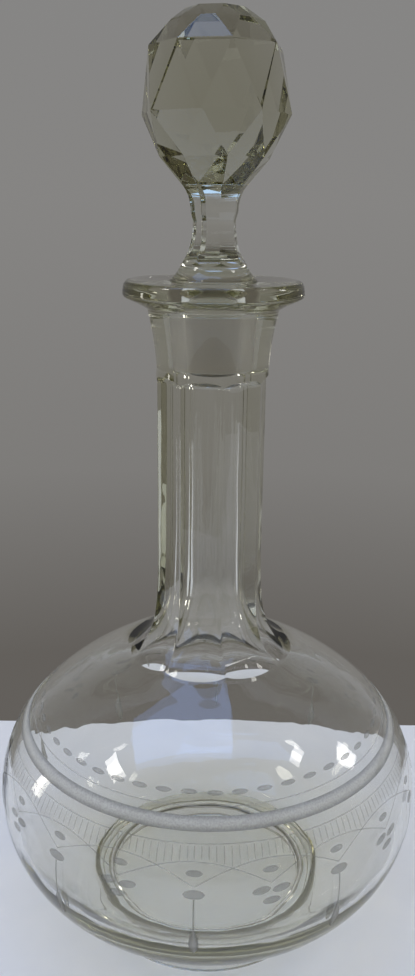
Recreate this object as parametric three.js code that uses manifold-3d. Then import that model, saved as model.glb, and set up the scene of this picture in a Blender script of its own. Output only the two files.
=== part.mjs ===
// A globe-and-shaft decanter in clear lead glass, with its ground and facet-cut stopper.
// Millimetres, +Z up. The origin is the centre of the foot, on the table that it stands on.
// Azimuths are in degrees from the front (-Y), turning towards +X.
import * as THREE from 'three';
import { ConvexGeometry } from 'three/addons/geometries/ConvexGeometry.js';
import { mergeVertices } from 'three/addons/utils/BufferGeometryUtils.js';
import Module from 'manifold-3d';

const wasm = await Module();
wasm.setup();

// Globe of the bottle
const globeRadius = 76;
const globeWidestHeight = 54.1;
const globeLowerDepth = 52.4; // from the widest height to where the lower curve would close
const globeLowerPower = 2.16; // 2 is an ellipse, more is squarer
const globeUpperHeight = 65; // from the widest height to where the shoulder would close
const globeUpperPower = 2.23;
const globeWall = 3.4;
const floorThickness = 8.6;
const floorPower = 2.45;

// Foot ring, ground flat underneath around a shallow hollow
const footRadius = 43.2;
const footHeight = 8.4;
const footRingWidth = 3;
const footEdgeRound = 0.6;
const kickRise = 5.6;
const kickRound = 4.6; // of the hollow's edge, from its level top down to the ring
const footStep = 1.5; // from the edge of the foot out to the globe

// Neck, round as blown, with eight flat flutes cut by a wheel
const neckRadius = 18.5;
const fluteDepth = 1.55; // from the round blank to the middle of a flute
const fluteCount = 8;
const fluteAzimuth = -10.5; // middle of the flute nearest the front
const fluteTopHeight = 203.7;
const fluteTopRunOut = 2.2;
const fluteSweepHeight = 141.7; // where the flutes start to sweep out onto the shoulder
const fluteTipRadius = 30;
const fluteTipHeight = 106.2;
const fluteTipRise = 1.9; // pulls of the sweep's curve, above the tip and off the neck
const fluteSweepRise = 7.5;
const fluteTipClearance = 0.1;
const fluteSweepEase = 0.4;
const shoulderJoinHeight = 105.7; // where the fillet of the neck leaves the shoulder
const filletSlope = 0.522; // height over radius, where the fillet leaves the shoulder
const neckFilletHeight = 131.7;
const boreRadius = 8.4;
const boreFlareHeight = 131.7; // where the bore starts to open into the bowl
const boreFlareSlope = 0.68;
const neckRootWall = 4.6;

// Collar and lip
const collarWaist = 0.2; // below the neck's radius, just above the flutes
const collarSwell = 0.6; // pull of the collar's curve, outside the neck's radius
const collarSwellDrop = 8; // and below the collar's top
const collarTopRadius = 21.3;
const collarTopHeight = 225;
const lipRadius = 29.1;
const lipTopHeight = 233.7;
const lipThickness = 7.2;
const lipTopFlatRadius = 27.5;
const lipDishDepth = 0.9; // from the rim of the lip down to the edge of the mouth
const lipUnderReach = 1.4; // pull of the curve that turns the lip out
const lipUnderRise = 1;
const lipRimInset = 0.8; // where the underside ends and the rim's round starts
const lipRimDrop = 1.6;
const lipRimBulge = 0.2; // pulls of the rim's two round stretches
const lipRimBulgeDrop = 1;
const lipTopInset = 0.3;

// Ground socket and plug
const socketTopHeight = 224.7;
const socketBottomHeight = 206;
const plugTopRadius = 8.95;
const plugBottomRadius = 8.05;
const plugEndRound = 2.4;
const plugClearance = 0.35;
const plugEndInset = 0.4;
const mouthRadius = 14.1;
const mouthDepth = 2.2; // pull of the mouth's flare, below its edge and outside the socket
const mouthEase = 0.4;

// Stopper
const stopperCollarRound = 0.6;
const stopperNeckRadius = 6.85; // at the arrises, where the neck is thinnest
const stopperNeckHeight = 251.9;
const stopperKnuckleRadius = 7.65;
const stopperKnuckleHeight = 254.7;
const stopperFluteFootRadius = 11;
const stopperFluteFootHeight = 238.1;
const stopperBellHeight = 245.7;
const stopperBellRadius = 8.69;
const stopperBellPullRadius = 9.38;
const stopperBellPullDrop = 0.6; // below the foot of the flutes
const stopperFluteEase = 0.3; // pull of the curve at the foot of the flutes
const stopperFluteRise = 2.6;
const stopperThroatRise = 4.5; // pull of the curve above the knuckle
const stopperShankRadius = 10.8; // blank of the shank below the head, outside the flats
const headRootRadius = 7.6; // of the shank where it ends inside the head
const headRootRise = 1;
const headBottomRadius = 10.3;
const headBottomHeight = 262.4;
const headLowerRadius = 17.3;
const headLowerHeight = 270.3;
const headWidestRadius = 23.1;
const headWidestHeight = 282.5;
const headUpperRadius = 20.4;
const headUpperHeight = 300.9;
const headCrownRadius = 14.6;
const headCrownHeight = 307.5;
const headCrownFacetAngle = 16; // width of each crown facet at its top edge
const headTableRadius = 9.4;
const headTableHeight = 311.1;
const headTopHeight = 312.5;

// Fineness of the curved surfaces
const roundSteps = 48;
const curveSteps = 9;
const smallCurveSteps = 5;
const rimSteps = 3;

const fluteStep = 360 / fluteCount;
const arrisAzimuth = fluteAzimuth + fluteStep / 2;
const cornerPerFlat = 1 / Math.cos(THREE.MathUtils.degToRad(fluteStep / 2));
const fluteFlat = neckRadius - fluteDepth;
const mouthHeight = lipTopHeight - lipDishDepth;
const clearOfEverything = 2 * globeRadius;

const glass = new THREE.MeshStandardMaterial({ color: 0xaeb0a8, roughness: 0.05, metalness: 0 });
const stopperGlass = new THREE.MeshStandardMaterial({ color: 0x9d9c8c, roughness: 0.05, metalness: 0 });

function point(radius, height) {
  return new THREE.Vector2(radius, height);
}

// Evenly spread numbers from start to end, both included
function spread(start, end, steps) {
  return Array.from({ length: steps + 1 }, (_, index) => start + (end - start) * index / steps);
}

function bend(start, pull, end, steps) {
  return new THREE.QuadraticBezierCurve(start, pull, end).getPoints(steps);
}

// Turns an outline, given as radii and heights from the bottom up, about the Z axis
function turned(outline, steps = roundSteps, azimuth = 0) {
  const lathe = new THREE.LatheGeometry(outline, steps, THREE.MathUtils.degToRad(azimuth));
  return lathe.rotateX(Math.PI / 2);
}

// Drops the outline's repeated points, so that no ring of the lathe is doubled
function joined(...stretches) {
  const points = stretches.flat();
  return points.filter((here, index) => index === 0 || here.distanceTo(points[index - 1]) > 1e-4);
}

function solid(geometry) {
  geometry.deleteAttribute('normal');
  geometry.deleteAttribute('uv');
  const merged = mergeVertices(geometry, 1e-4);
  const corners = Array.from(merged.index.array);
  const triangles = [];
  for (let first = 0; first < corners.length; first += 3) {
    const [a, b, c] = corners.slice(first, first + 3);
    if (a !== b && b !== c && c !== a) {
      triangles.push(a, b, c);
    }
  }
  return new wasm.Manifold(new wasm.Mesh({
    numProp: 3,
    vertProperties: new Float32Array(merged.attributes.position.array),
    triVerts: new Uint32Array(triangles),
  }));
}

function named(name, body, material) {
  const mesh = body.getMesh();
  const geometry = new THREE.BufferGeometry();
  geometry.setAttribute('position', new THREE.BufferAttribute(mesh.vertProperties, 3));
  geometry.setIndex(new THREE.BufferAttribute(mesh.triVerts, 1));
  geometry.computeVertexNormals();
  const piece = new THREE.Mesh(geometry, material);
  piece.name = name;
  return piece;
}

// Lower half of the globe, from the given radius out to the widest height. A squared ellipse
function lowerGlobe(widest, depth, power, startRadius, steps) {
  const startTurn = Math.acos((startRadius / widest) ** (power / 2));
  return spread(startTurn, 0, steps).map((turn) => point(
    widest * Math.cos(turn) ** (2 / power),
    globeWidestHeight - depth * Math.sin(turn) ** (2 / power),
  ));
}

// Shoulder of the globe, from the widest height up. It falls in to the neck like a tent
function upperGlobe(widest, height, endHeight, steps) {
  return spread(globeWidestHeight, endHeight, steps).map((level) => point(
    widest * (1 - ((level - globeWidestHeight) / height) ** globeUpperPower),
    level,
  ));
}

function footOutline() {
  const innerRadius = footRadius - footRingWidth;
  const kick = bend(
    point(innerRadius - kickRound, kickRise),
    point(innerRadius, kickRise),
    point(innerRadius, 0),
    smallCurveSteps,
  );
  const edge = bend(
    point(footRadius - footEdgeRound, 0),
    point(footRadius, 0),
    point(footRadius, footEdgeRound),
    smallCurveSteps,
  );
  return joined(point(0, kickRise), kick, edge, point(footRadius, footHeight));
}

// The round outside of the bottle before the flutes are cut
function bottleOutline() {
  const lower = lowerGlobe(globeRadius, globeLowerDepth, globeLowerPower, footRadius + footStep, curveSteps);
  const upper = upperGlobe(globeRadius, globeUpperHeight, shoulderJoinHeight, curveSteps);
  const shoulderEnd = upper.at(-1);
  const filletRise = (shoulderEnd.x - neckRadius) * filletSlope;
  const filletPull = point(neckRadius, shoulderJoinHeight + filletRise);
  const fillet = bend(shoulderEnd, filletPull, point(neckRadius, neckFilletHeight), curveSteps);
  const collar = bend(
    point(neckRadius - collarWaist, fluteTopHeight + fluteTopRunOut),
    point(neckRadius + collarSwell, collarTopHeight - collarSwellDrop),
    point(collarTopRadius, collarTopHeight),
    smallCurveSteps,
  );
  return joined(
    footOutline(),
    lower,
    upper,
    fillet,
    point(neckRadius, fluteTopHeight),
    collar,
    lipOutline(),
    point(mouthRadius, mouthHeight),
    point(0, mouthHeight),
  );
}

// The lip turns out from the collar, rounds over its rim and dips a little towards the mouth
function lipOutline() {
  const rimHeight = lipTopHeight - lipThickness / 2;
  const under = bend(
    point(collarTopRadius, collarTopHeight),
    point(collarTopRadius + lipUnderReach, collarTopHeight + lipUnderRise),
    point(lipRadius - lipRimInset, rimHeight - lipRimDrop),
    smallCurveSteps,
  );
  const rim = bend(
    under.at(-1),
    point(lipRadius + lipRimBulge, rimHeight - lipRimBulgeDrop),
    point(lipRadius, rimHeight),
    rimSteps,
  );
  const over = bend(
    rim.at(-1),
    point(lipRadius - lipTopInset, lipTopHeight),
    point(lipTopFlatRadius, lipTopHeight),
    rimSteps,
  );
  return joined(under, rim, over);
}

// What is left when a wheel has cut the flutes: straight up the neck, sweeping out at both ends
function fluteSolid() {
  const sweep = new THREE.CubicBezierCurve(
    point(fluteTipRadius, fluteTipHeight),
    point(neckRadius + fluteTipClearance, fluteTipHeight + fluteTipRise),
    point(fluteFlat + fluteSweepEase, fluteTipHeight + fluteSweepRise),
    point(fluteFlat, fluteSweepHeight),
  ).getPoints(curveSteps);
  const runOut = bend(
    point(fluteFlat, fluteTopHeight - fluteTopRunOut),
    point(fluteFlat, fluteTopHeight),
    point(collarTopRadius, fluteTopHeight + fluteTopRunOut),
    smallCurveSteps,
  );
  const flats = joined(
    point(0, -footHeight),
    point(clearOfEverything, -footHeight),
    point(clearOfEverything, fluteTipHeight),
    sweep,
    runOut,
    point(clearOfEverything, fluteTopHeight + fluteTopRunOut),
    point(clearOfEverything, lipTopHeight + footHeight),
    point(0, lipTopHeight + footHeight),
  );
  const corners = flats.map((flat) => point(flat.x * cornerPerFlat, flat.y));
  return solid(turned(corners, fluteCount, arrisAzimuth));
}

// Radius of the ground plug at a height, and beyond its ends along the same taper
function plugRadiusAt(height) {
  const share = (height - socketBottomHeight) / (socketTopHeight - socketBottomHeight);
  return plugBottomRadius + (plugTopRadius - plugBottomRadius) * share;
}

// Inside of the bottle: bowl, shoulder, bore, ground socket and mouth
function cavityOutline() {
  const innerRadius = globeRadius - globeWall;
  const innerDepth = globeWidestHeight - kickRise - floorThickness;
  const lower = lowerGlobe(innerRadius, innerDepth, floorPower, 0, curveSteps);
  const innerHeight = globeUpperHeight - neckRootWall;
  const upper = upperGlobe(innerRadius, innerHeight, shoulderJoinHeight - neckRootWall, curveSteps);
  const shoulderEnd = upper.at(-1);
  const flare = bend(
    shoulderEnd,
    point(boreRadius, shoulderEnd.y + (shoulderEnd.x - boreRadius) * boreFlareSlope),
    point(boreRadius, boreFlareHeight),
    curveSteps,
  );
  const socketBottom = point(plugRadiusAt(socketBottomHeight) + plugClearance, socketBottomHeight);
  const socketTop = point(plugRadiusAt(socketTopHeight) + plugClearance, socketTopHeight);
  const mouth = bend(
    socketTop,
    point(socketTop.x + mouthEase, mouthHeight - mouthDepth),
    point(mouthRadius + plugClearance, mouthHeight),
    smallCurveSteps,
  );
  return joined(
    lower,
    upper,
    flare,
    socketBottom,
    mouth,
    point(mouthRadius + plugClearance, lipTopHeight + footHeight),
    point(0, lipTopHeight + footHeight),
  );
}

function bottle() {
  const blank = solid(turned(bottleOutline()));
  const cavity = solid(turned(cavityOutline()));
  return blank.intersect(fluteSolid()).subtract(cavity);
}

// Ground plug, and above it the round bell that covers the mouth of the bottle
function plugOutline() {
  const seatHeight = mouthHeight + plugClearance;
  const end = bend(
    point(0, socketBottomHeight - plugEndRound),
    point(plugBottomRadius - plugEndInset, socketBottomHeight - plugEndRound),
    point(plugBottomRadius, socketBottomHeight),
    smallCurveSteps,
  );
  const top = point(plugTopRadius, socketTopHeight);
  const underside = bend(
    top,
    point(top.x + mouthEase, seatHeight - mouthDepth),
    point(mouthRadius - stopperCollarRound, seatHeight),
    smallCurveSteps,
  );
  const bell = bend(
    point(mouthRadius, seatHeight + stopperCollarRound),
    point(stopperBellPullRadius, stopperFluteFootHeight - stopperBellPullDrop),
    point(stopperBellRadius, stopperBellHeight),
    curveSteps,
  );
  return joined(
    end,
    underside,
    bell,
    point(stopperShankRadius, stopperKnuckleHeight),
    point(stopperShankRadius, headBottomHeight),
    point(headRootRadius, headBottomHeight + headRootRise),
    point(0, headBottomHeight + headRootRise),
  );
}

// Eight flats up the stopper's neck, in line with the flutes of the bottle
function stopperFluteSolid() {
  const lower = bend(
    point(stopperFluteFootRadius * cornerPerFlat, stopperFluteFootHeight),
    point(stopperNeckRadius + stopperFluteEase, stopperFluteFootHeight + stopperFluteRise),
    point(stopperNeckRadius, stopperNeckHeight),
    curveSteps,
  );
  const upper = bend(
    point(stopperKnuckleRadius, stopperKnuckleHeight),
    point(stopperKnuckleRadius, stopperKnuckleHeight + stopperThroatRise),
    point(headBottomRadius, headBottomHeight),
    smallCurveSteps,
  );
  const corners = joined(
    point(0, 0),
    point(clearOfEverything, 0),
    point(clearOfEverything, stopperFluteFootHeight),
    lower,
    upper,
    point(headBottomRadius, headBottomHeight + 2 * headRootRise),
    point(0, headBottomHeight + 2 * headRootRise),
  );
  return solid(turned(corners, fluteCount, arrisAzimuth));
}

// One corner for each flute, at a radius and height, turned by an angle from the first arris
function ring(radius, height, turn = 0) {
  return Array.from({ length: fluteCount }, (_, index) => {
    const azimuth = THREE.MathUtils.degToRad(arrisAzimuth + turn + index * fluteStep);
    return new THREE.Vector3(radius * Math.sin(azimuth), -radius * Math.cos(azimuth), height);
  });
}

// The head is one convex stone. Its rows of triangles come from rings turned by half a flute
function headSolid() {
  const halfTurn = fluteStep / 2;
  return solid(new ConvexGeometry([
    ...ring(headBottomRadius, headBottomHeight),
    ...ring(headLowerRadius, headLowerHeight),
    ...ring(headWidestRadius, headWidestHeight, halfTurn),
    ...ring(headUpperRadius, headUpperHeight),
    ...ring(headCrownRadius, headCrownHeight, halfTurn - headCrownFacetAngle / 2),
    ...ring(headCrownRadius, headCrownHeight, halfTurn + headCrownFacetAngle / 2),
    ...ring(headTableRadius, headTableHeight),
    new THREE.Vector3(0, 0, headTopHeight),
  ]));
}

function stopper() {
  const shank = solid(turned(plugOutline()));
  return shank.intersect(stopperFluteSolid()).add(headSolid());
}

const decanter = new THREE.Group();
decanter.add(named('bottle', bottle(), glass));
decanter.add(named('stopper', stopper(), stopperGlass));

export default decanter;
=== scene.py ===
"""The looks of a globe-and-shaft crystal decanter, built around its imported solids.

The outlines repeat the solids' sizes in millimetres and are brought to metres as meshes are made.
Azimuths are in degrees from the front (-Y), turning towards +X. Heights are along +Z.
"""
import math

import bmesh
import bpy
from mathutils import Matrix, Vector

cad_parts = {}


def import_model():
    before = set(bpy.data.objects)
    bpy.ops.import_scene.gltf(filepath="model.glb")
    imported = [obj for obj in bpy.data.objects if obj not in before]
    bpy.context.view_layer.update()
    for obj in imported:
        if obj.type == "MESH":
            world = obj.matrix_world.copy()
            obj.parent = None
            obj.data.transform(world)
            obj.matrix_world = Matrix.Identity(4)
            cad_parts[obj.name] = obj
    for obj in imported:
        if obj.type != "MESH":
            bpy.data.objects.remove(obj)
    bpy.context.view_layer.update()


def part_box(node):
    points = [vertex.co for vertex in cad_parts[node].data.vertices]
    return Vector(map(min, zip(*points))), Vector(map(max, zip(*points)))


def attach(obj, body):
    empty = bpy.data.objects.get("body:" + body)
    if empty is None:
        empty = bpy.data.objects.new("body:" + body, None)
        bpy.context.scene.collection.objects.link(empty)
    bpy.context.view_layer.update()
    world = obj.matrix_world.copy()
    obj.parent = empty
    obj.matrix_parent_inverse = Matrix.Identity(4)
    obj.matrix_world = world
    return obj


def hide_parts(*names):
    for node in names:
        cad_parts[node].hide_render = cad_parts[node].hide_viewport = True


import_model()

MM = 0.001
BOTTLE_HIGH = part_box("bottle")[1]
STOPPER_LOW, STOPPER_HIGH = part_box("stopper")

# Globe, as on the solids
GLOBE_RADIUS = BOTTLE_HIGH.x / MM
GLOBE_WIDEST_HEIGHT = 54.1
GLOBE_LOWER_DEPTH = 52.4
GLOBE_LOWER_POWER = 2.16
GLOBE_UPPER_HEIGHT = 65.0
GLOBE_UPPER_POWER = 2.23
GLOBE_WALL = 3.4
FLOOR_THICKNESS = 8.6
FLOOR_POWER = 2.45

# Foot ring around a shallow hollow
FOOT_RADIUS = 43.2
FOOT_GROOVE_HEIGHT = 7.8
FOOT_GROOVE_PULL = 9.1
FOOT_GROOVE_RADIUS = 45.9
FOOT_RING_WIDTH = 3.0
FOOT_EDGE_ROUND = 0.6
KICK_RISE = 5.6
KICK_ROUND = 4.6

# Neck with eight flat flutes
NECK_RADIUS = 18.5
FLUTE_DEPTH = 1.55
FLUTE_COUNT = 8
FLUTE_AZIMUTH = -10.5
FLUTE_STEP = 360 / FLUTE_COUNT
FLUTE_FLAT = NECK_RADIUS - FLUTE_DEPTH
FLUTE_TOP_HEIGHT = 203.7
FLUTE_TOP_RUN_OUT = 2.2
FLUTE_SWEEP_HEIGHT = 141.7
FLUTE_TIP = (30.0, 106.2)
FLUTE_TIP_PULL = (18.6, 108.1)
FLUTE_SWEEP_PULL = (17.35, 113.7)
ARRIS_ROUND = 0.8
SHOULDER_JOIN_HEIGHT = 105.7
FILLET_SLOPE = 0.522
FILLET_HEIGHT = 131.7
BORE_RADIUS = 8.4
BORE_FLARE_HEIGHT = 131.7
BORE_FLARE_SLOPE = 0.56  # less than the solid's, whose inner surface lies under a millimetre away
NECK_ROOT_WALL = 4.6
INNER_WOBBLE = 0.08
WOBBLE_END_UNDER_SOCKET = 8
WOBBLE_FADE = 20

# Collar, lip and mouth
COLLAR_WAIST_RADIUS = 18.3
COLLAR_PULL = (19.1, 217.0)
COLLAR_TOP = (21.3, 225.0)
LIP_TOP_HEIGHT = BOTTLE_HIGH.z / MM
LIP_UNDER_PULL = (22.7, 226.0)
LIP_UNDER_END = (28.3, 228.5)
LIP_RIM_PULL = (29.3, 229.1)
LIP_RIM = (29.1, 230.1)
LIP_OVER_PULL = (28.8, LIP_TOP_HEIGHT)
LIP_FLAT_RADIUS = 27.5
LIP_DISH_DEPTH = 0.9
MOUTH_RADIUS = 14.45
MOUTH_HEIGHT = LIP_TOP_HEIGHT - LIP_DISH_DEPTH
MOUTH_PULL_DEPTH = 2.2
MOUTH_PULL_EASE = 0.4
SOCKET_TOP = (9.3, 224.7)
SOCKET_BOTTOM = (8.4, 206.0)

# Stopper
PLUG_END_HEIGHT = STOPPER_LOW.z / MM
PLUG_BOTTOM = (8.05, 206.0)
PLUG_TOP = (8.95, 224.7)
PLUG_END_INSET = 0.4
PLUG_CLEARANCE = 0.35
BELL_RADIUS = 14.1
BELL_ROUND = 0.6
BELL_SEAT_HEIGHT = MOUTH_HEIGHT + PLUG_CLEARANCE
BELL_PULL = (9.38, 237.5)
BELL_TOP = (8.69, 245.7)
STOPPER_FLUTE_FOOT = (11.91, 238.1)
STOPPER_FLUTE_PULL = (7.15, 240.7)
STOPPER_NECK = (6.85, 251.9)
STOPPER_KNUCKLE = (7.65, 254.7)
STOPPER_THROAT_PULL = (7.65, 259.2)
HEAD_BOTTOM = (10.3, 262.4)
HEAD_LOWER = (17.3, 270.3)
HEAD_WIDEST = (23.1, 282.5)
HEAD_UPPER = (20.4, 300.9)
HEAD_CROWN = (14.6, 307.5)
HEAD_CROWN_FACET_ANGLE = 16.0
HEAD_TABLE = (9.4, 311.1)
HEAD_TOP_HEIGHT = STOPPER_HIGH.z / MM
HEAD_EDGE_ROUND = 0.16
SHANK_ARRIS_ROUND = 0.5
SHANK_ROOT_DEPTH = 1.2

# Engraving on the globe: heights of its rows, and the sizes of its marks
DOT_COUNT = 48
DOT_HEIGHT = 86.1
DOT_AZIMUTH = 2.6
DOT_HALF = (2.6, 0.8)
RING_ABOVE_HEIGHT = 83.4
BAND_HEIGHT = 79.7
RING_BELOW_HEIGHT = 75.2
LINE_HALF_WIDTH = 0.17
ARCH_COUNT = 20
ARCH_AZIMUTH = -3.0
ARCH_TOP_HEIGHT = 70.8
ARCH_DROP = 7.0
HATCH_COUNT = 200
HATCH_GAP = 0.5
HATCH_HALF_WIDTHS = (0.12, 0.16, 0.16, 0.08)
LEAF_UNDER_ARCH_HEIGHT = 67.7
LEAF_UNDER_ARCH_HALF = (2.6, 1.0)
LEAF_ON_STEM_HEIGHT = 61.5
LEAF_ON_STEM_HALF = (3.4, 1.5)
TREFOIL_HEIGHTS = (61.8, 58.3)
TREFOIL_SPREAD = 2.4
TREFOIL_HALF = (2.9, 1.2)
TREFOIL_TILTS = (0.5, 0.3)
OVAL_TIP_HALF_WIDTH = 0.05
STEM_HEIGHTS = (59.9, 37.7)
STEM_HALF_WIDTH = 0.24
DROP_TOP_HEIGHT = 48.7
DROP_HALF_WIDTH = 1.55
DROP_LOW_WEIGHT = 1.25
DROP_BLUNTNESS = 0.6
DROP_END_HALF_WIDTH = 0.1
ENGRAVING_LIFT = 0.016
ENGRAVING_THICKNESS = 0.035
ENGRAVING_UNDERSIDE = 0.004

# Glass: absorption is GLASS_DENSITY times one minus the tint, in each metre
GLASS_IOR = 1.52
GLASS_TINT = (0.39, 0.37, 0.0)
GLASS_DENSITY = 14
GROUND_ZONE = (SOCKET_BOTTOM[1] * MM, SOCKET_TOP[1] * MM)
GROUND_RADIUS = 10.1 * MM
GROUND_ZONE_SOFTNESS = 0.0004
GROUND_RADIUS_SOFTNESS = 0.0002
GROUND_GRAIN_SCALE = 1400
GROUND_ROUGHNESS = (0.3, 0.46)
WEAR_SCALE = 420
WEAR_ROUGHNESS = 0.012
BOTTLE_RIPPLE = (70, 0.00016)
STOPPER_RIPPLE = (55, 0.00008)
GROUND_COLOUR = (0.335, 0.31, 0.285)
GROUND_CLEAR_SHARE = 0.15
LEAF_COLOUR = (0.30, 0.30, 0.285)
LEAF_ALPHA = 0.35
LINE_COLOUR = (0.42, 0.42, 0.41)
LINE_ALPHA = 0.3
DROP_COLOUR = (0.35, 0.35, 0.33)
DROP_ALPHA = 0.55
BAND_COLOUR = (0.54, 0.54, 0.52)
BAND_ALPHA = 0.6
BAND_HALF_WIDTH = 2.25
CUT_GRAIN_SCALE = 1800
CUT_ROUGHNESS = (0.5, 0.75)

# Camera, as fitted to the photograph: 415 by 976 pixels
CAMERA_PLACE = Vector((-1.2, -294.0, 257.3)) * MM
CAMERA_PITCH = math.radians(17.54)
CAMERA_ROLL = math.radians(0.66)
CAMERA_LENS = 33.33
CAMERA_SENSOR = 36.0

# Light that falls on dull surfaces
EVEN_LIGHT = (0.64, 0.64, 0.63)

# Room: places between straight down (0) and straight up (1), with their colours
ROOM_TONES = (
    (0.269, (0.125, 0.116, 0.106)),
    (0.36, (0.205, 0.199, 0.191)),
    (0.5, (0.237, 0.232, 0.226)),
    (0.75, (0.243, 0.243, 0.243)),
)

# Windows as soft lamps, in metres
LAMP_AIM = Vector((0, 0, 0.1282))
LAMP_DISTANCE = 1.2

# Panel of sky overhead, in metres
SKYLIGHT_PLACE = (-0.36, -0.13, 1.6032)
SKYLIGHT_SIZE = (1.3, 0.6)
SKYLIGHT_RADIANCE = (0.6, 1.0, 2.1)

# Table that the decanter stands on
TABLE_BACK = 0.1205
TABLE_GAP = 0.0004
TABLE_FRONT = -0.42
TABLE_HALF_WIDTH = 0.75
TABLE_THICKNESS = 0.03
TABLE_EDGE_ROUND = 0.004
TABLE_COLOUR = (0.78, 0.80, 0.84)
TABLE_DARKER = (0.74, 0.76, 0.81)
TABLE_LIGHTER = (0.80, 0.81, 0.84)


def weighed(weights, points):
    """Sum of points, each times its weight."""
    return tuple(sum(w * v for w, v in zip(weights, values)) for values in zip(*points))


def quadratic(start, pull, end, share):
    """Point of a quadratic curve at a share of its way."""
    rest = 1 - share
    return weighed((rest * rest, 2 * rest * share, share * share), (start, pull, end))


def cubic(start, pull_a, pull_b, end, share):
    """Point of a cubic curve at a share of its way."""
    rest = 1 - share
    weights = (rest ** 3, 3 * rest * rest * share, 3 * rest * share * share, share ** 3)
    return weighed(weights, (start, pull_a, pull_b, end))


def spread(start, end, steps):
    """Evenly spread numbers from start to end, both included."""
    return [start + (end - start) * index / steps for index in range(steps + 1)]


def bend(start, pull, end, steps):
    """Points of a quadratic curve, both ends included."""
    return [quadratic(start, pull, end, share) for share in spread(0, 1, steps)]


def line(start, end, steps):
    """Points of a straight line, both ends included."""
    return list(zip(spread(start[0], end[0], steps), spread(start[1], end[1], steps)))


def crossing(difference, low, high):
    """Where a function that starts below zero and ends above it passes zero."""
    for _ in range(50):
        middle = (low + high) / 2
        if difference(middle) < 0:
            low = middle
        else:
            high = middle
    return (low + high) / 2


def flute_radius(flat, delta, arris_round):
    """Radius of a body with eight flats, in a direction delta degrees from the middle of a flat."""
    half_step = math.radians(FLUTE_STEP / 2)
    off_arris = half_step - math.radians(abs(delta))
    centre = (flat - arris_round) / math.cos(half_step)
    end_of_round = math.atan2(arris_round * math.sin(half_step), centre + arris_round * math.cos(half_step))
    if off_arris < end_of_round:
        across = centre * math.sin(off_arris)
        return centre * math.cos(off_arris) + math.sqrt(arris_round ** 2 - across ** 2)
    return flat / math.cos(math.radians(delta))


def globe_lower(widest, depth, power, start_radius, steps):
    """Lower half of a globe, from a radius out to its widest height."""
    start_turn = math.acos((start_radius / widest) ** (power / 2))
    return [
        (
            widest * math.cos(turn) ** (2 / power),
            GLOBE_WIDEST_HEIGHT - depth * math.sin(turn) ** (2 / power),
        )
        for turn in spread(start_turn, 0, steps)
    ]


def globe_upper_radius(widest, height, level):
    """Radius of the shoulder of a globe at a level."""
    return widest * (1 - ((level - GLOBE_WIDEST_HEIGHT) / height) ** GLOBE_UPPER_POWER)


def globe_upper(widest, height, end_level, steps):
    """Upper half of a globe, from its widest height to where the neck's fillet starts."""
    levels = spread(GLOBE_WIDEST_HEIGHT, end_level, steps)
    return [(globe_upper_radius(widest, height, level), level) for level in levels]


def globe_radius(level):
    """Radius of the outside of the globe at a level."""
    if level >= GLOBE_WIDEST_HEIGHT:
        return globe_upper_radius(GLOBE_RADIUS, GLOBE_UPPER_HEIGHT, level)
    share = (GLOBE_WIDEST_HEIGHT - level) / GLOBE_LOWER_DEPTH
    return GLOBE_RADIUS * (1 - share ** GLOBE_LOWER_POWER) ** (1 / GLOBE_LOWER_POWER)


SHOULDER_END = (
    globe_upper_radius(GLOBE_RADIUS, GLOBE_UPPER_HEIGHT, SHOULDER_JOIN_HEIGHT),
    SHOULDER_JOIN_HEIGHT,
)
FILLET_PULL = (NECK_RADIUS, SHOULDER_JOIN_HEIGHT + (SHOULDER_END[0] - NECK_RADIUS) * FILLET_SLOPE)


def fillet_share(level):
    """Share of the way along the neck's fillet at which it reaches a level."""
    return crossing(lambda share: fillet_at(share)[1] - level, 0, 1)


def fillet_at(share):
    """Point of the fillet between shoulder and neck."""
    return quadratic(SHOULDER_END, FILLET_PULL, (NECK_RADIUS, FILLET_HEIGHT), share)


def blank_radius(level):
    """Radius of the round neck before its flutes are cut, from the shoulder to the collar's waist."""
    if level <= FILLET_HEIGHT:
        return fillet_at(fillet_share(level))[0]
    return NECK_RADIUS


def sweep_at(share):
    """Middle of a flute where it sweeps up from the shoulder."""
    return cubic(FLUTE_TIP, FLUTE_TIP_PULL, FLUTE_SWEEP_PULL, (FLUTE_FLAT, FLUTE_SWEEP_HEIGHT), share)


def run_out_at(share):
    """Middle of a flute where it runs out under the collar."""
    start = (FLUTE_FLAT, FLUTE_TOP_HEIGHT - FLUTE_TOP_RUN_OUT)
    end = (COLLAR_TOP[0], FLUTE_TOP_HEIGHT + FLUTE_TOP_RUN_OUT)
    return quadratic(start, (FLUTE_FLAT, FLUTE_TOP_HEIGHT), end, share)


def collar_radius(level):
    """Radius of the round collar above the flutes."""
    waist_height = FLUTE_TOP_HEIGHT + FLUTE_TOP_RUN_OUT
    if level < waist_height:
        share = max(0, (level - FLUTE_TOP_HEIGHT) / FLUTE_TOP_RUN_OUT)
        return NECK_RADIUS + (COLLAR_WAIST_RADIUS - NECK_RADIUS) * share
    start = (COLLAR_WAIST_RADIUS, waist_height)
    share = crossing(lambda s: quadratic(start, COLLAR_PULL, COLLAR_TOP, s)[1] - level, 0, 1)
    return quadratic(start, COLLAR_PULL, COLLAR_TOP, share)[0]


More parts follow.
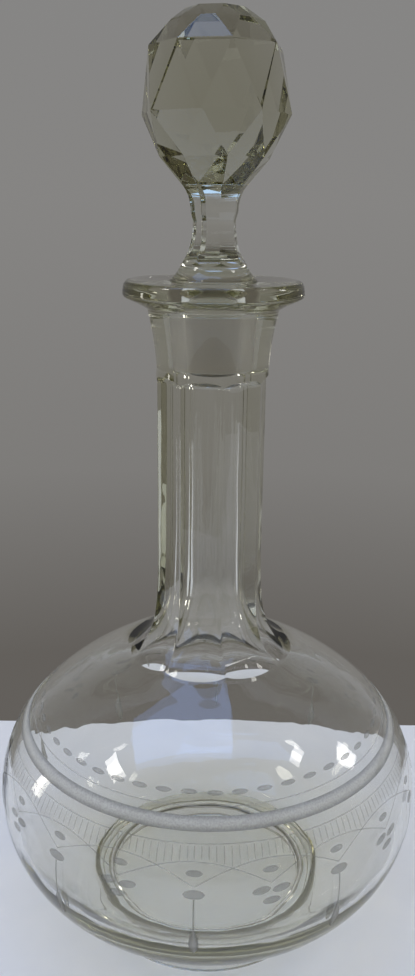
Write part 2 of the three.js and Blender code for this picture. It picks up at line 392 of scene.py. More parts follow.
def foot_outline():
    """From the middle of the hollow under the floor to the groove above the foot ring."""
    inner = FOOT_RADIUS - FOOT_RING_WIDTH
    kick_level = [(inner * share, KICK_RISE) for share in (0, 0.3, 0.6)]
    kick = bend((inner - KICK_ROUND, KICK_RISE), (inner, KICK_RISE), (inner, 0), 10)
    ring = [(inner + FOOT_RING_WIDTH / 2, 0)]
    edge = bend((FOOT_RADIUS - FOOT_EDGE_ROUND, 0), (FOOT_RADIUS, 0), (FOOT_RADIUS, FOOT_EDGE_ROUND), 5)
    lower = globe_lower(GLOBE_RADIUS, GLOBE_LOWER_DEPTH, GLOBE_LOWER_POWER, FOOT_GROOVE_RADIUS, 36)
    groove = bend((FOOT_RADIUS, FOOT_GROOVE_HEIGHT), (FOOT_RADIUS, FOOT_GROOVE_PULL), lower[0], 5)
    return kick_level + kick + ring + edge + groove[:-1] + lower


def lip_outline():
    """From the collar out, over the rim and in to the edge of the mouth."""
    under = bend(COLLAR_TOP, LIP_UNDER_PULL, LIP_UNDER_END, 9)
    rim = bend(LIP_UNDER_END, LIP_RIM_PULL, LIP_RIM, 5)
    over = bend(LIP_RIM, LIP_OVER_PULL, (LIP_FLAT_RADIUS, LIP_TOP_HEIGHT), 7)
    dish = line((LIP_FLAT_RADIUS, LIP_TOP_HEIGHT), (MOUTH_RADIUS, MOUTH_HEIGHT), 5)
    return under[1:] + rim[1:] + over[1:] + dish[1:-1]


def cavity_outline():
    """From the edge of the mouth down through socket and bore to the middle of the bowl's floor."""
    inner = GLOBE_RADIUS - GLOBE_WALL
    height = GLOBE_UPPER_HEIGHT - NECK_ROOT_WALL
    depth = GLOBE_WIDEST_HEIGHT - KICK_RISE - FLOOR_THICKNESS
    mouth_pull = (SOCKET_TOP[0] + MOUTH_PULL_EASE, MOUTH_HEIGHT - MOUTH_PULL_DEPTH)
    mouth = bend((MOUTH_RADIUS, MOUTH_HEIGHT), mouth_pull, SOCKET_TOP, 9)
    socket = line(SOCKET_TOP, SOCKET_BOTTOM, 8)
    bore = [(BORE_RADIUS, level) for level in spread(SOCKET_BOTTOM[1], BORE_FLARE_HEIGHT, 18)]
    upper = globe_upper(inner, height, SHOULDER_JOIN_HEIGHT - NECK_ROOT_WALL, 34)
    flare_start = upper[-1]
    flare_pull = (BORE_RADIUS, flare_start[1] + (flare_start[0] - BORE_RADIUS) * BORE_FLARE_SLOPE)
    flare = bend((BORE_RADIUS, BORE_FLARE_HEIGHT), flare_pull, flare_start, 16)
    lower = globe_lower(inner, depth, FLOOR_POWER, 0, 36)
    return mouth + socket[1:] + bore[1:] + flare[1:] + upper[-2::-1] + lower[-2::-1]


def neck_outline(delta):
    """From the shoulder to under the lip, in a direction delta degrees from the middle of a flute.

    It also gives the place of the two creases in which a flute starts and ends.
    """
    def sweep_radius(share):
        return flute_radius(sweep_at(share)[0], delta, ARRIS_ROUND)

    def run_out_radius(share):
        return flute_radius(run_out_at(share)[0], delta, ARRIS_ROUND)

    start = crossing(lambda share: blank_radius(sweep_at(share)[1]) - sweep_radius(share), 0, 1)
    end = crossing(lambda share: run_out_radius(share) - collar_radius(run_out_at(share)[1]), 0, 1)
    crease = fillet_share(sweep_at(start)[1])
    fillet = [fillet_at(share) for share in spread(0, crease, 10)]
    sweep = [(sweep_radius(share), sweep_at(share)[1]) for share in spread(start, 1, 26)]
    straight_levels = spread(FLUTE_SWEEP_HEIGHT, FLUTE_TOP_HEIGHT - FLUTE_TOP_RUN_OUT, 18)
    straight = [(flute_radius(FLUTE_FLAT, delta, ARRIS_ROUND), level) for level in straight_levels]
    run_out = [(run_out_radius(share), run_out_at(share)[1]) for share in spread(0, end, 7)]
    collar = [(collar_radius(level), level) for level in spread(run_out[-1][1], COLLAR_TOP[1], 16)]
    points = fillet[1:] + sweep[1:] + straight[1:] + run_out[1:] + collar[1:]
    creases = (len(fillet) - 2, len(fillet) + len(sweep) + len(straight) + len(run_out) - 5)
    return points, creases


def blown_wobble(azimuth, level, strength):
    """Small unevenness of hand-worked glass, in millimetres along the radius."""
    turn = math.radians(azimuth)
    slow = math.sin(2 * turn + 0.050 * level) + 0.6 * math.sin(3 * turn - 0.071 * level + 1.3)
    quick = 0.35 * math.sin(5 * turn + 0.110 * level + 0.4) + 0.2 * math.sin(9 * turn + 0.19 * level)
    return strength * (slow + quick)


def flute_azimuths():
    """Columns of the bottle's mesh, crowded towards the arrises. Each goes with its delta."""
    per_half = 11
    crowding = 1.9
    halves = [FLUTE_STEP / 2 * (1 - (1 - index / per_half) ** crowding) for index in range(per_half + 1)]
    deltas = [-value for value in halves[-2:0:-1]] + halves
    return [
        (FLUTE_AZIMUTH + flute * FLUTE_STEP + delta, delta)
        for flute in range(FLUTE_COUNT)
        for delta in deltas
    ]


def around(radius, azimuth, level):
    """Point at a radius, azimuth and height, in metres."""
    turn = math.radians(azimuth)
    return Vector((radius * math.sin(turn), -radius * math.cos(turn), level)) * MM


def mesh_piece(name, points, faces, sharp_edges=()):
    """A smooth-shaded mesh object. Sharp edges are pairs of point numbers."""
    mesh = bpy.data.meshes.new(name)
    mesh.from_pydata([tuple(point) for point in points], [], faces)
    mesh.validate()
    mesh.polygons.foreach_set("use_smooth", [True] * len(mesh.polygons))
    sharp = {tuple(sorted(pair)) for pair in sharp_edges}
    for edge in mesh.edges:
        edge.use_edge_sharp = tuple(sorted(edge.vertices)) in sharp
    mesh.update()
    piece = bpy.data.objects.new(name, mesh)
    bpy.context.scene.collection.objects.link(piece)
    return piece


def closed_grid(name, columns, sharp_rows):
    """A closed mesh from columns of points. The first and last point of all columns are its poles."""
    rows = len(columns[0]) - 2
    count = len(columns)
    points = [columns[0][0]] + [point for column in columns for point in column[1:-1]] + [columns[0][-1]]

    def number(column, row):
        return 1 + (column % count) * rows + row

    faces = []
    for column in range(count):
        faces.append((0, number(column + 1, 0), number(column, 0)))
        faces.append((number(column, rows - 1), number(column + 1, rows - 1), len(points) - 1))
        for row in range(rows - 1):
            faces.append((
                number(column, row),
                number(column + 1, row),
                number(column + 1, row + 1),
                number(column, row + 1),
            ))
    sharp = [
        (number(column, row - 1), number(column + 1, row - 1))
        for row in sharp_rows
        for column in range(count)
    ]
    return mesh_piece(name, points, faces, sharp)


def bottle():
    """The bottle as one closed wall of glass, fluted, with its foot, lip, socket and bore."""
    foot = foot_outline()
    upper = globe_upper(GLOBE_RADIUS, GLOBE_UPPER_HEIGHT, SHOULDER_JOIN_HEIGHT, 42)[1:]
    lip = lip_outline()
    cavity = cavity_outline()
    columns = []
    for azimuth, delta in flute_azimuths():
        neck, creases = neck_outline(delta)
        outside = foot + upper + neck + lip
        column = [around(radius, azimuth, level) for radius, level in outside]
        for radius, level in cavity[:-1]:
            uneven = radius + inner_wobble(azimuth, level)
            column.append(around(uneven, azimuth, level))
        column.append(around(0, 0, cavity[-1][1]))
        columns.append(column)
    before_neck = len(foot) + len(upper)
    sharp_rows = [before_neck + crease for crease in creases]
    return closed_grid("bottle_glass_body", columns, sharp_rows)


def inner_wobble(azimuth, level):
    """The blown inside is less even than the outside, but its ground socket is true."""
    top = SOCKET_BOTTOM[1] - WOBBLE_END_UNDER_SOCKET
    if level > top:
        return 0
    fade_in = min(1, (top - level) / WOBBLE_FADE)
    floor_fade = min(1, max(0, (level - KICK_RISE - FLOOR_THICKNESS) / WOBBLE_FADE))
    return blown_wobble(azimuth, level, INNER_WOBBLE) * fade_in * floor_fade


def plug_outline():
    """Round lower stopper in four stretches, end, plug, seat and edge, and where its bell starts."""
    end = bend((0, PLUG_END_HEIGHT), (PLUG_BOTTOM[0] - PLUG_END_INSET, PLUG_END_HEIGHT), PLUG_BOTTOM, 8)
    plug = line(PLUG_BOTTOM, PLUG_TOP, 8)
    seat_pull = (PLUG_TOP[0] + MOUTH_PULL_EASE, BELL_SEAT_HEIGHT - MOUTH_PULL_DEPTH)
    seat = bend(PLUG_TOP, seat_pull, (BELL_RADIUS - BELL_ROUND, BELL_SEAT_HEIGHT), 8)
    bell_start = (BELL_RADIUS, BELL_SEAT_HEIGHT + BELL_ROUND)
    edge = bend(seat[-1], (BELL_RADIUS, BELL_SEAT_HEIGHT), bell_start, 4)
    return end, plug, seat, edge, bell_start


def shank_column(delta):
    """One column of the shank, and the place of the crease in which its flats start."""
    end, plug, seat, edge, bell_start = plug_outline()
    to_flat = math.cos(math.radians(FLUTE_STEP / 2))

    def bell_at_level(level):
        share = crossing(lambda s: quadratic(bell_start, BELL_PULL, BELL_TOP, s)[1] - level, 0, 1)
        return quadratic(bell_start, BELL_PULL, BELL_TOP, share)

    def foot_point(share):
        corner, level = quadratic(STOPPER_FLUTE_FOOT, STOPPER_FLUTE_PULL, STOPPER_NECK, share)
        return flute_radius(corner * to_flat, delta, SHANK_ARRIS_ROUND), level

    start = crossing(lambda share: bell_at_level(foot_point(share)[1])[0] - foot_point(share)[0], 0, 0.9)
    crease_level = foot_point(start)[1]
    bell = [bell_at_level(level) for level in spread(bell_start[1], crease_level, 10)]
    foot = [foot_point(share) for share in spread(start, 1, 16)]
    waist = line(STOPPER_NECK, STOPPER_KNUCKLE, 5)
    throat = bend(STOPPER_KNUCKLE, STOPPER_THROAT_PULL, HEAD_BOTTOM, 8)
    rising = [
        (flute_radius(corner * to_flat, delta, SHANK_ARRIS_ROUND), level)
        for corner, level in waist[1:] + throat[1:]
    ]
    root_level = HEAD_BOTTOM[1] + SHANK_ROOT_DEPTH
    root = [(rising[-1][0], root_level), (0, root_level)]
    points = end + plug[1:] + seat[1:] + edge[1:] + bell[1:] + foot[1:] + rising + root
    crease = len(end) + len(plug) + len(seat) + len(edge) + len(bell) - 5
    return points, crease


def shank():
    """Plug, bell and fluted neck of the stopper, up to just inside its head."""
    columns = []
    for azimuth, delta in flute_azimuths():
        points, crease = shank_column(delta)
        columns.append([around(radius, azimuth, level) for radius, level in points])
    return closed_grid("shank", columns, [crease])


def head_ring(place, turn=0.0):
    """One corner for each flute, at a radius and height, turned from the first arris."""
    radius, level = place
    first = FLUTE_AZIMUTH + FLUTE_STEP / 2 + turn
    return [around(radius, first + index * FLUTE_STEP, level) for index in range(FLUTE_COUNT)]


def head():
    """The faceted head, one convex stone whose edges are a little worn."""
    half_turn = FLUTE_STEP / 2
    half_facet = HEAD_CROWN_FACET_ANGLE / 2
    corners = (
        head_ring(HEAD_BOTTOM)
        + head_ring(HEAD_LOWER)
        + head_ring(HEAD_WIDEST, half_turn)
        + head_ring(HEAD_UPPER)
        + head_ring(HEAD_CROWN, half_turn - half_facet)
        + head_ring(HEAD_CROWN, half_turn + half_facet)
        + head_ring(HEAD_TABLE)
        + [around(0, 0, HEAD_TOP_HEIGHT)]
    )
    stone = bmesh.new()
    for corner in corners:
        stone.verts.new(corner)
    bmesh.ops.convex_hull(stone, input=stone.verts)
    flat_enough = math.radians(0.5)
    bmesh.ops.dissolve_limit(stone, angle_limit=flat_enough, verts=stone.verts, edges=stone.edges)
    bmesh.ops.bevel(
        stone,
        geom=stone.edges,
        offset=HEAD_EDGE_ROUND * MM,
        segments=2,
        profile=0.5,
        affect="EDGES",
        clamp_overlap=True,
    )
    bmesh.ops.recalc_face_normals(stone, faces=stone.faces)
    mesh = bpy.data.meshes.new("head")
    stone.to_mesh(mesh)
    stone.free()
    piece = bpy.data.objects.new("head", mesh)
    bpy.context.scene.collection.objects.link(piece)
    return piece


def stopper():
    """The stopper as one solid of glass: its shank joined to its head."""
    piece = shank()
    stone = head()
    union = piece.modifiers.new("join", "BOOLEAN")
    union.operation = "UNION"
    union.solver = "EXACT"
    union.object = stone
    bpy.context.view_layer.update()
    joined = piece.evaluated_get(bpy.context.evaluated_depsgraph_get())
    mesh = bpy.data.meshes.new_from_object(joined)
    piece.modifiers.clear()
    piece.data = mesh
    piece.name = "stopper_glass_body"
    mesh.name = "stopper_glass_body"
    bpy.data.objects.remove(stone)
    return piece


def globe_normal(azimuth, level):
    """Direction out of the globe's outside."""
    step = 0.05
    slope = (globe_radius(level + step) - globe_radius(level - step)) / (2 * step)
    turn = math.radians(azimuth)
    return Vector((math.sin(turn), -math.cos(turn), -slope)).normalized()


def lifted(place, lift):
    """Point over the globe's outside, at an azimuth and height, in metres."""
    azimuth, level = place
    return around(globe_radius(level), azimuth, level) + globe_normal(azimuth, level) * lift * MM


def beside(place, direction, distance):
    """Azimuth and height of the point of the globe that lies a distance to the left of a direction."""
    point = lifted(place, 0) + direction * distance * MM
    azimuth = math.degrees(math.atan2(point.x, -point.y))
    return azimuth, point.z / MM


def stroke(path, half_widths, closed=False):
    """Points and faces of a thin lens-shaped cut along a path of azimuths and heights."""
    count = len(path)
    points = []
    for index, place in enumerate(path):
        before = path[index - 1] if closed or index else place
        after = path[(index + 1) % count] if closed or index < count - 1 else place
        normal = globe_normal(*place)
        along = lifted(after, 0) - lifted(before, 0)
        left = normal.cross(along).normalized()
        half = half_widths[index]
        points.append(lifted(beside(place, left, half), ENGRAVING_LIFT))
        points.append(lifted(place, ENGRAVING_LIFT + ENGRAVING_THICKNESS))
        points.append(lifted(beside(place, left, -half), ENGRAVING_LIFT))
        points.append(lifted(place, ENGRAVING_LIFT - ENGRAVING_UNDERSIDE))
    faces = []
    for index in range(count if closed else count - 1):
        first = 4 * index
        second = 4 * ((index + 1) % count)
        for side in range(4):
            following = (side + 1) % 4
            faces.append((first + side, second + side, second + following, first + following))
    if not closed:
        faces.append((3, 2, 1, 0)[::-1])
        last = 4 * (count - 1)
        faces.append((last + 3, last + 2, last + 1, last))
    return points, faces


def engraved(name, strokes):
    """One piece from many strokes."""
    points = []
    faces = []
    for stroke_points, stroke_faces in strokes:
        start = len(points)
        points += stroke_points
        faces += [tuple(start + corner for corner in face) for face in stroke_faces]
    return mesh_piece(name, points, faces)


def ring_line(level, half_width):
    """A cut all round the globe."""
    steps = 240
    path = [(index * 360 / steps, level) for index in range(steps)]
    return stroke(path, [half_width] * steps, closed=True)


def oval(azimuth, level, half, tilt=0.0, steps=10):
    """A cut that is long sideways and pointed at both ends. A tilt lifts its right end."""
    half_length, half_width = half
    millimetres_per_degree = math.radians(1) * globe_radius(level)
    path = []
    widths = []
    for place in spread(-1, 1, steps):
        path.append((azimuth + place * half_length / millimetres_per_degree, level + place * tilt))
        widths.append(max(OVAL_TIP_HALF_WIDTH, half_width * math.sqrt(1 - place * place)))
    return stroke(path, widths)


def unevenness(index, spread_by):
    """A small repeatable difference between marks cut by hand, from -1 to 1 times spread_by."""
    return spread_by * math.sin(index * 12.9898 + 4.1)


def dots():
    """The row of sideways ovals above the band."""
    step = 360 / DOT_COUNT
    return [
        oval(
            DOT_AZIMUTH + index * step + unevenness(index, 0.7),
            DOT_HEIGHT + unevenness(index + 50, 0.2),
            DOT_HALF,
        )
        for index in range(DOT_COUNT)
    ]


def arch_height(offset):
    """Height of an arch at an azimuth off its middle."""
    return ARCH_TOP_HEIGHT - ARCH_DROP * (offset / (360 / ARCH_COUNT)) ** 2


def arches():
    """Interlaced arches: each springs from under the tops of its neighbours."""
    step = 360 / ARCH_COUNT
    offsets = spread(-step, step, 30)
    return [
        stroke(
            [(ARCH_AZIMUTH + index * step + offset, arch_height(offset)) for offset in offsets],
            [LINE_HALF_WIDTH] * len(offsets),
        )
        for index in range(ARCH_COUNT)
    ]


def hatching():
    """Short upright cuts between the lower ring and the tops of the arches."""
    step = 360 / ARCH_COUNT
    strokes = []
    for index in range(HATCH_COUNT):
        azimuth = ARCH_AZIMUTH + index * 360 / HATCH_COUNT + unevenness(index, 0.15)
        off_arch = (azimuth - ARCH_AZIMUTH + step / 2) % step - step / 2
        low = arch_height(off_arch) + HATCH_GAP + unevenness(index + 9, 0.25)
        levels = spread(RING_BELOW_HEIGHT - HATCH_GAP, low, 3)
        strokes.append(stroke([(azimuth, level) for level in levels], HATCH_HALF_WIDTHS))
    return strokes


def leaves():
    """An oval under each arch, and by turns one on a stem or a trefoil further down."""
    step = 360 / ARCH_COUNT
    cuts = []
    for index in range(ARCH_COUNT):
        azimuth = ARCH_AZIMUTH + index * step
        cuts.append(oval(azimuth, LEAF_UNDER_ARCH_HEIGHT, LEAF_UNDER_ARCH_HALF))
        if index % 2 == 0:
            cuts.append(oval(azimuth, LEAF_ON_STEM_HEIGHT, LEAF_ON_STEM_HALF))
            continue
        high, low = TREFOIL_HEIGHTS
        high_tilt, low_tilt = TREFOIL_TILTS
        cuts.append(oval(azimuth - TREFOIL_SPREAD, high, TREFOIL_HALF, high_tilt))
        cuts.append(oval(azimuth + TREFOIL_SPREAD, high, TREFOIL_HALF, high_tilt))
        cuts.append(oval(azimuth, low, TREFOIL_HALF, low_tilt))
    return cuts


def drop_half_width(share):
    """Half the width of a stem (share 0) or of its drop, down to the drop's end (share 1)."""
    if share >= 1:
        return DROP_END_HALF_WIDTH
    swell = DROP_HALF_WIDTH * math.sin(math.pi * share ** DROP_LOW_WEIGHT) ** DROP_BLUNTNESS
    return max(STEM_HALF_WIDTH, swell)


def drops():
    """Stems that hang from the leaves and swell into long drops."""
    top, bottom = STEM_HEIGHTS
    cuts = []
    for index in range(0, ARCH_COUNT, 2):
        azimuth = ARCH_AZIMUTH + index * 360 / ARCH_COUNT
        path = []
        widths = []
        for level in spread(top, bottom, 26):
            share = max(0, (DROP_TOP_HEIGHT - level) / (DROP_TOP_HEIGHT - bottom))
            path.append((azimuth, level))
            widths.append(drop_half_width(share))
        cuts.append(stroke(path, widths))
    return cuts


def node_in(material, kind, **values):
    node = material.node_tree.nodes.new(kind)
    for name, value in values.items():
        setattr(node, name, value)
    return node


def principled(name, colour, roughness, ior):
    material = bpy.data.materials.new(name)
    material.use_nodes = True
    shader = material.node_tree.nodes["Principled BSDF"]
    shader.inputs["Base Color"].default_value = (*colour, 1)
    shader.inputs["Roughness"].default_value = roughness
    shader.inputs["IOR"].default_value = ior
    return material, shader


def height_mask(material, low, high, soft):
    """A node that is 1 between two heights of the object, in metres, and fades to 0 outside them."""
    link = material.node_tree.links.new
    place = node_in(material, "ShaderNodeTexCoord")
    axes = node_in(material, "ShaderNodeSeparateXYZ")
    rising = node_in(material, "ShaderNodeMapRange", interpolation_type="SMOOTHSTEP")
    falling = node_in(material, "ShaderNodeMapRange", interpolation_type="SMOOTHSTEP")
    both = node_in(material, "ShaderNodeMath", operation="MULTIPLY")
    link(place.outputs["Object"], axes.inputs[0])
    rising.inputs["From Min"].default_value = low - soft
    rising.inputs["From Max"].default_value = low
    falling.inputs["From Min"].default_value = high
    falling.inputs["From Max"].default_value = high + soft
    falling.inputs["To Min"].default_value = 1
    falling.inputs["To Max"].default_value = 0
    link(axes.outputs["Z"], rising.inputs["Value"])
    link(axes.outputs["Z"], falling.inputs["Value"])
    link(rising.outputs[0], both.inputs[0])
    link(falling.outputs[0], both.inputs[1])
    return both, axes, place


def radius_mask(material, axes, edge, soft):
    """A node that is 1 nearer to the axis than an edge, in metres."""
    link = material.node_tree.links.new
    flat = node_in(material, "ShaderNodeCombineXYZ")
    length = node_in(material, "ShaderNodeVectorMath", operation="LENGTH")
    inside = node_in(material, "ShaderNodeMapRange")
    link(axes.outputs["X"], flat.inputs["X"])
    link(axes.outputs["Y"], flat.inputs["Y"])
    link(flat.outputs[0], length.inputs[0])
    link(length.outputs["Value"], inside.inputs["Value"])
    inside.inputs["From Min"].default_value = edge
    inside.inputs["From Max"].default_value = edge + soft
    inside.inputs["To Min"].default_value = 1
    inside.inputs["To Max"].default_value = 0
    return inside


def noise_in(material, place, scale, detail, roughness=0.5):
    noise = node_in(material, "ShaderNodeTexNoise")
    noise.inputs["Scale"].default_value = scale
    noise.inputs["Detail"].default_value = detail
    noise.inputs["Roughness"].default_value = roughness
    material.node_tree.links.new(place.outputs["Object"], noise.inputs["Vector"])
    return noise


def range_in(material, source, low, high, to_low, to_high):
    node = node_in(material, "ShaderNodeMapRange")
    node.inputs["From Min"].default_value = low
    node.inputs["From Max"].default_value = high
    node.inputs["To Min"].default_value = to_low
    node.inputs["To Max"].default_value = to_high
    material.node_tree.links.new(source, node.inputs["Value"])
    return node


def math_in(material, operation, first, second):
    node = node_in(material, "ShaderNodeMath", operation=operation)
    for socket, value in zip(node.inputs, (first, second)):
        if isinstance(value, (int, float)):
            socket.default_value = value
        else:
            material.node_tree.links.new(value, socket)
    return node


def clear_glass(name, ripple):
    """Polished glass with a faint grey tint, uneven from hand work and rough where it is ground."""
    ripple_scale, ripple_depth = ripple
    material, shader = principled(name, (1, 1, 1), 0, GLASS_IOR)
    link = material.node_tree.links.new
    volume = node_in(material, "ShaderNodeVolumeAbsorption")
    volume.inputs["Color"].default_value = (*GLASS_TINT, 1)
    volume.inputs["Density"].default_value = GLASS_DENSITY
    link(volume.outputs[0], material.node_tree.nodes["Material Output"].inputs["Volume"])

    zone, axes, place = height_mask(material, *GROUND_ZONE, GROUND_ZONE_SOFTNESS)
    near_axis = radius_mask(material, axes, GROUND_RADIUS, GROUND_RADIUS_SOFTNESS)
    ground = math_in(material, "MULTIPLY", zone.outputs[0], near_axis.outputs[0])
    ground_grain = noise_in(material, place, GROUND_GRAIN_SCALE, 2)
    ground_rough = range_in(material, ground_grain.outputs["Fac"], 0.3, 0.7, *GROUND_ROUGHNESS)
    wear = noise_in(material, place, WEAR_SCALE, 3)
    polish = range_in(material, wear.outputs["Fac"], 0.52, 0.75, 0.0, WEAR_ROUGHNESS)
    ground_part = math_in(material, "MULTIPLY", ground.outputs[0], ground_rough.outputs[0])
    rough = math_in(material, "ADD", ground_part.outputs[0], polish.outputs[0])
    link(rough.outputs[0], shader.inputs["Roughness"])
    clear_share = range_in(material, ground.outputs[0], 0, 1, 1, GROUND_CLEAR_SHARE)
    link(clear_share.outputs[0], shader.inputs["Transmission Weight"])
    frost = node_in(material, "ShaderNodeMix", data_type="RGBA")
    frost.inputs[6].default_value = (1, 1, 1, 1)
    frost.inputs[7].default_value = (*GROUND_COLOUR, 1)
    link(ground.outputs[0], frost.inputs["Factor"])
    link(frost.outputs[2], shader.inputs["Base Color"])

    ripples = noise_in(material, place, ripple_scale, 1.5, 0.4)
    bump = node_in(material, "ShaderNodeBump")
    bump.inputs["Strength"].default_value = 1
    bump.inputs["Distance"].default_value = ripple_depth
    link(ripples.outputs["Fac"], bump.inputs["Height"])
    link(bump.outputs[0], shader.inputs["Normal"])
    return material


def engraved_glass(name, tone, alpha):
    """The dull surface of a wheel cut: grainy and half see-through."""
    material, shader = principled(name, tone, 0.6, 1.5)
    place = node_in(material, "ShaderNodeTexCoord")
    grain = noise_in(material, place, CUT_GRAIN_SCALE, 2)
    colour = node_in(material, "ShaderNodeValToRGB")
    colour.color_ramp.elements[0].position = 0.35
    colour.color_ramp.elements[0].color = (*[value * 0.85 for value in tone], 1)
    colour.color_ramp.elements[1].position = 0.65
    colour.color_ramp.elements[1].color = (*[value * 1.15 for value in tone], 1)
    material.node_tree.links.new(grain.outputs["Fac"], colour.inputs["Fac"])
    material.node_tree.links.new(colour.outputs["Color"], shader.inputs["Base Color"])
    rough = range_in(material, grain.outputs["Fac"], 0.3, 0.7, *CUT_ROUGHNESS)
    material.node_tree.links.new(rough.outputs[0], shader.inputs["Roughness"])
    shader.inputs["Alpha"].default_value = alpha
    return material


def table_material():
    """Pale, slightly bluish cloth-white top with a very fine grain."""
    material, shader = principled("table_top", TABLE_COLOUR, 0.55, 1.45)
    place = node_in(material, "ShaderNodeTexCoord")
    grain = noise_in(material, place, 30, 4)
    colour = node_in(material, "ShaderNodeValToRGB")
    colour.color_ramp.elements[0].position = 0.3
    colour.color_ramp.elements[0].color = (*TABLE_DARKER, 1)
    colour.color_ramp.elements[1].position = 0.7
    colour.color_ramp.elements[1].color = (*TABLE_LIGHTER, 1)
    material.node_tree.links.new(grain.outputs["Fac"], colour.inputs["Fac"])
    material.node_tree.links.new(colour.outputs["Color"], shader.inputs["Base Color"])
    return material


def table():
    """The pale top that the decanter stands on. Its back edge shows through the globe."""
    corners = bmesh.new()
    bmesh.ops.create_cube(corners, size=1)
    size = (2 * TABLE_HALF_WIDTH, TABLE_BACK - TABLE_FRONT, TABLE_THICKNESS)
    middle = Vector((0, (TABLE_BACK + TABLE_FRONT) / 2, -TABLE_THICKNESS / 2 - TABLE_GAP))
    bmesh.ops.scale(corners, vec=size, verts=corners.verts)
    bmesh.ops.translate(corners, vec=middle, verts=corners.verts)
    bmesh.ops.bevel(corners, geom=corners.edges, offset=TABLE_EDGE_ROUND, segments=3, affect="EDGES")
    mesh = bpy.data.meshes.new("table")
    corners.to_mesh(mesh)
    corners.free()
    top = bpy.data.objects.new("table", mesh)
    bpy.context.scene.collection.objects.link(top)
    mesh.materials.append(table_material())


def world():
    """A plain room: light grey all round, and darker below the level of the table."""
    room = bpy.data.worlds.new("room")
    bpy.context.scene.world = room
    room.use_nodes = True
    nodes = room.node_tree.nodes
    links = room.node_tree.links
    background = nodes["Background"]
    place = nodes.new("ShaderNodeTexCoord")
    axes = nodes.new("ShaderNodeSeparateXYZ")
    ramp = nodes.new("ShaderNodeValToRGB")
    rescale = nodes.new("ShaderNodeMapRange")
    links.new(place.outputs["Generated"], axes.inputs[0])
    links.new(axes.outputs["Z"], rescale.inputs["Value"])
    rescale.inputs["From Min"].default_value = -1
    rescale.inputs["From Max"].default_value = 1
    links.new(rescale.outputs[0], ramp.inputs["Fac"])
    steps = ramp.color_ramp.elements
    for index, (position, colour) in enumerate(ROOM_TONES):
        step = steps[index] if index < 2 else steps.new(position)
        step.position = position
        step.color = (*colour, 1)

    # The room is what camera, mirror and glass see. What falls on dull surfaces is an even light
    paths = nodes.new("ShaderNodeLightPath")
    seen = nodes.new("ShaderNodeMath")
    seen.operation = "MAXIMUM"
    links.new(paths.outputs["Is Camera Ray"], seen.inputs[0])
    links.new(paths.outputs["Is Glossy Ray"], seen.inputs[1])
    seen_or_through = nodes.new("ShaderNodeMath")
    seen_or_through.operation = "MAXIMUM"
    links.new(seen.outputs[0], seen_or_through.inputs[0])
    links.new(paths.outputs["Is Transmission Ray"], seen_or_through.inputs[1])
    before_dull = nodes.new("ShaderNodeMath")
    before_dull.operation = "LESS_THAN"
    links.new(paths.outputs["Diffuse Depth"], before_dull.inputs[0])
    before_dull.inputs[1].default_value = 0.5
    shows_room = nodes.new("ShaderNodeMath")
    shows_room.operation = "MULTIPLY"
    links.new(seen_or_through.outputs[0], shows_room.inputs[0])
    links.new(before_dull.outputs[0], shows_room.inputs[1])
    even_light = nodes.new("ShaderNodeMix")
    even_light.data_type = "RGBA"
    links.new(shows_room.outputs[0], even_light.inputs["Factor"])
    even_light.inputs[6].default_value = (*EVEN_LIGHT, 1)
    links.new(ramp.outputs["Color"], even_light.inputs[7])
    links.new(even_light.outputs[2], background.inputs["Color"])


def lamp(name, azimuth, elevation, size, radiance, colour):
    """A soft rectangular lamp that faces the middle of the decanter."""
    turn = math.radians(azimuth)
    lift = math.radians(elevation)
    away = Vector((math.sin(turn) * math.cos(lift), -math.cos(turn) * math.cos(lift), math.sin(lift)))
    light = bpy.data.lights.new(name, "AREA")
    light.shape = "RECTANGLE"
    light.size, light.size_y = size
    light.energy = radiance * math.pi * size[0] * size[1]
    light.color = colour
    holder = bpy.data.objects.new(name, light)
    holder.location = LAMP_AIM + away * LAMP_DISTANCE
    holder.rotation_euler = away.to_track_quat("Z", "Y").to_euler()
    bpy.context.scene.collection.objects.link(holder)


def skylight():
    """A level panel of sky over the decanter. It shows as a pale blue patch in the globe."""
    light = bpy.data.lights.new("skylight", "AREA")
    light.shape = "RECTANGLE"
    light.size, light.size_y = SKYLIGHT_SIZE
    light.energy = math.pi * SKYLIGHT_SIZE[0] * SKYLIGHT_SIZE[1]
    light.color = SKYLIGHT_RADIANCE
    holder = bpy.data.objects.new("skylight", light)
    holder.location = SKYLIGHT_PLACE
    bpy.context.scene.collection.objects.link(holder)


def lamps():
    """Windows left and right of the decanter, and the sky over it."""
    lamp("window_left", -76, 45, size=(0.22, 0.12), radiance=10.0, colour=(1.0, 0.98, 0.94))
    lamp("window_left_low", -98, 4, size=(0.10, 0.34), radiance=7.0, colour=(1.0, 0.97, 0.90))
    lamp("window_right", 100, 26, size=(0.16, 0.20), radiance=8.0, colour=(1.0, 0.99, 0.97))
    lamp("window_right_high", 82, 48, size=(0.14, 0.10), radiance=8.0, colour=(1.0, 0.99, 0.97))
    skylight()


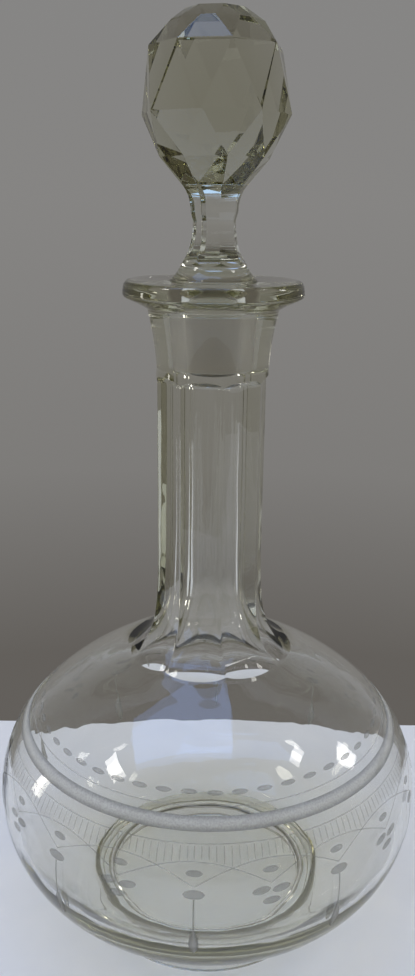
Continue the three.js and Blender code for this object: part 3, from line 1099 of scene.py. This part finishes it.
def camera():
    """The photograph's own view: it looks down a little and leans by less than a degree."""
    eye = bpy.data.cameras.new("camera")
    eye.sensor_fit = "VERTICAL"
    eye.sensor_height = CAMERA_SENSOR
    eye.lens = CAMERA_LENS
    eye.clip_start = 0.01
    level_right = Vector((1, 0, 0))
    forward = Vector((0, math.cos(CAMERA_PITCH), -math.sin(CAMERA_PITCH)))
    level_up = level_right.cross(forward)
    right = level_right * math.cos(CAMERA_ROLL) + level_up * math.sin(CAMERA_ROLL)
    up = level_up * math.cos(CAMERA_ROLL) - level_right * math.sin(CAMERA_ROLL)
    holder = bpy.data.objects.new("camera", eye)
    turned = Matrix((right, up, -forward)).transposed()
    holder.matrix_world = Matrix.Translation(CAMERA_PLACE) @ turned.to_4x4()
    bpy.context.scene.collection.objects.link(holder)
    bpy.context.scene.camera = holder


def dress(piece, material, body):
    """Gives a piece its material and its body."""
    piece.data.materials.clear()
    piece.data.materials.append(material)
    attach(piece, body)


camera()
world()
lamps()
table()

bottle_finish = clear_glass("bottle_glass", BOTTLE_RIPPLE)
stopper_finish = clear_glass("stopper_glass", STOPPER_RIPPLE)
bottle_piece = bottle()
dress(bottle_piece, bottle_finish, "bottle")
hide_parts("bottle")
stopper_piece = stopper()
dress(stopper_piece, stopper_finish, "stopper")
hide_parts("stopper")

leaf_finish = engraved_glass("engraved_leaf_glass", LEAF_COLOUR, LEAF_ALPHA)
line_finish = engraved_glass("engraved_line_glass", LINE_COLOUR, LINE_ALPHA)
drop_finish = engraved_glass("engraved_drop_glass", DROP_COLOUR, DROP_ALPHA)
band_finish = engraved_glass("engraved_band_glass", BAND_COLOUR, BAND_ALPHA)
rings = [ring_line(level, LINE_HALF_WIDTH) for level in (RING_ABOVE_HEIGHT, RING_BELOW_HEIGHT)]
for cut_name, cuts, finish in (
    ("engraved_dots", dots(), leaf_finish),
    ("engraved_rings", rings, line_finish),
    ("engraved_band", [ring_line(BAND_HEIGHT, BAND_HALF_WIDTH)], band_finish),
    ("engraved_hatching", hatching(), line_finish),
    ("engraved_arches", arches(), line_finish),
    ("engraved_leaves", leaves(), leaf_finish),
    ("engraved_drops", drops(), drop_finish),
):
    dress(engraved(cut_name, cuts), finish, "bottle")

bpy.context.scene.view_settings.view_transform = "Standard"
light_paths = bpy.context.scene.cycles
light_paths.max_bounces = 32
light_paths.glossy_bounces = 16
light_paths.transmission_bounces = 32
light_paths.transparent_max_bounces = 32
light_paths.blur_glossy = 0
